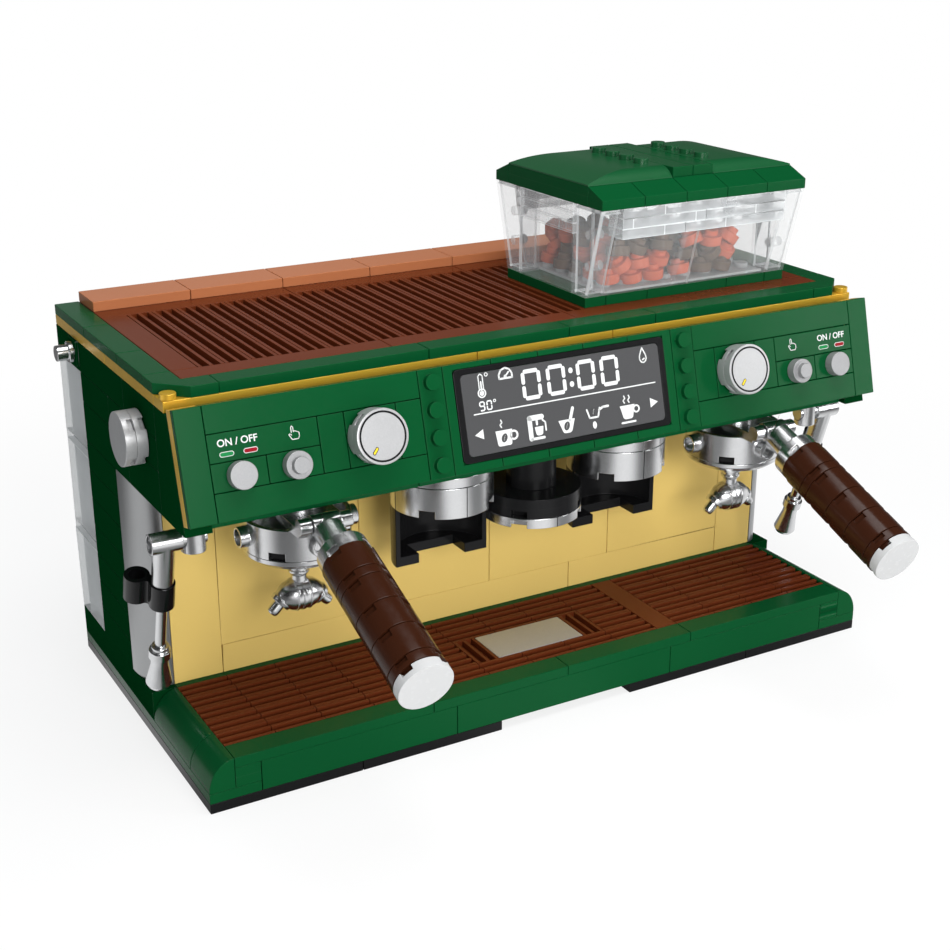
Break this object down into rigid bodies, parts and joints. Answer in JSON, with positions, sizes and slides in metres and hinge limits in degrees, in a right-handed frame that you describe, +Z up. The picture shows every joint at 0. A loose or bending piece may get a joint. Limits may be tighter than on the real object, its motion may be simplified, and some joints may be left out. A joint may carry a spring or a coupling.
{
  "type": "building block coffee machine",
  "caption": "Stud-brick model of an espresso machine with a slanted fascia, drip tray, hinged portafilters, swinging steam wands and a clear bean hopper with a lift-off lid.",
  "frame": {"origin": "middle of the base's underside, halfway between its sides and between its front and back", "axes": "+X to the right seen from the front, +Y to the back, +Z up"},
  "size_m": [0.2588, 0.1791, 0.165],
  "materials": {
    "dark_green": "gloss moulded plastic",
    "reddish_brown": "gloss moulded plastic",
    "nougat": "gloss moulded plastic",
    "tan": "gloss moulded plastic",
    "gold": "pearl gold plastic",
    "silver": "metallic silver coated plastic",
    "black": "gloss moulded plastic",
    "dark_brown": "gloss moulded plastic",
    "white": "gloss moulded plastic",
    "screen_grey": "gloss moulded plastic",
    "orange": "gloss moulded plastic",
    "bean_grey": "gloss moulded plastic",
    "clear": "clear plastic"
  },
  "bodies": {
    "machine": {"foot_plates": "black", "base_plates": "dark_green", "base_bricks": "dark_green", "curved_edges": "dark_green", "front_tiles": "dark_green", "tray_grille_tiles": "reddish_brown", "tray_strip_tiles": "reddish_brown", "nameplate_tile": "silver", "back_wall_panels": "tan", "wall_core": "black", "corner_posts": "silver", "side_walls": "dark_green", "tank_panels": "clear", "rear_wall_bricks": "dark_green", "upper_frame": "dark_green", "gold_trim": "gold", "deck_plates": "black", "deck_border_tiles": "dark_green", "deck_margin_tiles": "reddish_brown", "deck_grille_tiles": "reddish_brown", "rear_rail_tiles": "nougat", "fascia_backing": "dark_green", "fascia_tiles": "dark_green", "display_frame": "black", "display_screen": "screen_grey", "panel_buttons": "silver", "knob_axles": "black", "rear_tap": "silver", "group_head_mounts": "silver", "doser_rings": "silver", "doser_forks": "black", "tamper_body": "black", "wand_mounts": "silver", "hopper_base": "dark_green", "hopper_corner_slopes": "clear", "hopper_panels": "clear", "orange_beans": "orange", "dark_beans": "bean_grey"},
    "hopper_lid": {"lid_plates": "dark_green", "lid_slopes": "dark_green", "lid_domes": "dark_green", "lid_ridge_tiles": "dark_green"},
    "left_dial": {"left_dial": "silver"},
    "left_side_knob": {"left_side_knob": "silver"},
    "left_portafilter": {"left_portafilter_ring": "silver", "left_portafilter_spout": "silver"},
    "left_handle": {"left_handle_hinge": "silver", "left_handle_grip": "dark_brown", "left_handle_cap": "white"},
    "left_wand": {"left_wand_pipe": "silver", "left_wand_clip": "black"},
    "right_dial": {"right_dial": "silver"},
    "right_side_knob": {"right_side_knob": "silver"},
    "right_portafilter": {"right_portafilter_ring": "silver", "right_portafilter_spout": "silver"},
    "right_handle": {"right_handle_hinge": "silver", "right_handle_grip": "dark_brown", "right_handle_cap": "white"},
    "right_wand": {"right_wand_pipe": "silver", "right_wand_clip": "black"}
  },
  "joints": [
    {"name": "left_dial_turn", "type": "hinge", "parent": "machine", "child": "left_dial", "pos_m": [-0.064, -0.05539, 0.10293], "axis": [0, -0.9668, 0.2554], "continuous": true},
    {"name": "left_side_knob_turn", "type": "hinge", "parent": "machine", "child": "left_side_knob", "pos_m": [-0.12, -0.022, 0.1024], "axis": [-1, 0, 0], "continuous": true},
    {"name": "left_portafilter_turn", "type": "hinge", "parent": "machine", "child": "left_portafilter", "pos_m": [-0.08, -0.036, 0.07], "axis": [0, 0, 1], "range_deg": [-24, 24]},
    {"name": "left_handle_tilt", "type": "hinge", "parent": "left_portafilter", "child": "left_handle", "pos_m": [-0.08, -0.056, 0.08], "axis": [1, 0, 0], "range_deg": [-10, 15]},
    {"name": "left_wand_swing", "type": "hinge", "parent": "machine", "child": "left_wand", "pos_m": [-0.12, -0.036, 0.0752], "axis": [1, 0, 0], "range_deg": [-75, 8]},
    {"name": "right_dial_turn", "type": "hinge", "parent": "machine", "child": "right_dial", "pos_m": [0.064, -0.05539, 0.10293], "axis": [0, -0.9668, 0.2554], "continuous": true},
    {"name": "right_side_knob_turn", "type": "hinge", "parent": "machine", "child": "right_side_knob", "pos_m": [0.12, -0.022, 0.1024], "axis": [1, 0, 0], "continuous": true},
    {"name": "right_portafilter_turn", "type": "hinge", "parent": "machine", "child": "right_portafilter", "pos_m": [0.08, -0.036, 0.07], "axis": [0, 0, 1], "range_deg": [-24, 24]},
    {"name": "right_handle_tilt", "type": "hinge", "parent": "right_portafilter", "child": "right_handle", "pos_m": [0.08, -0.056, 0.08], "axis": [1, 0, 0], "range_deg": [-10, 15]},
    {"name": "right_wand_swing", "type": "hinge", "parent": "machine", "child": "right_wand", "pos_m": [0.12, -0.036, 0.0752], "axis": [1, 0, 0], "range_deg": [-75, 8]},
    {"name": "lid_lift", "type": "slide", "parent": "machine", "child": "hopper_lid", "axis": [0, 0, 1], "range_m": [0, 0.05]}
  ]
}
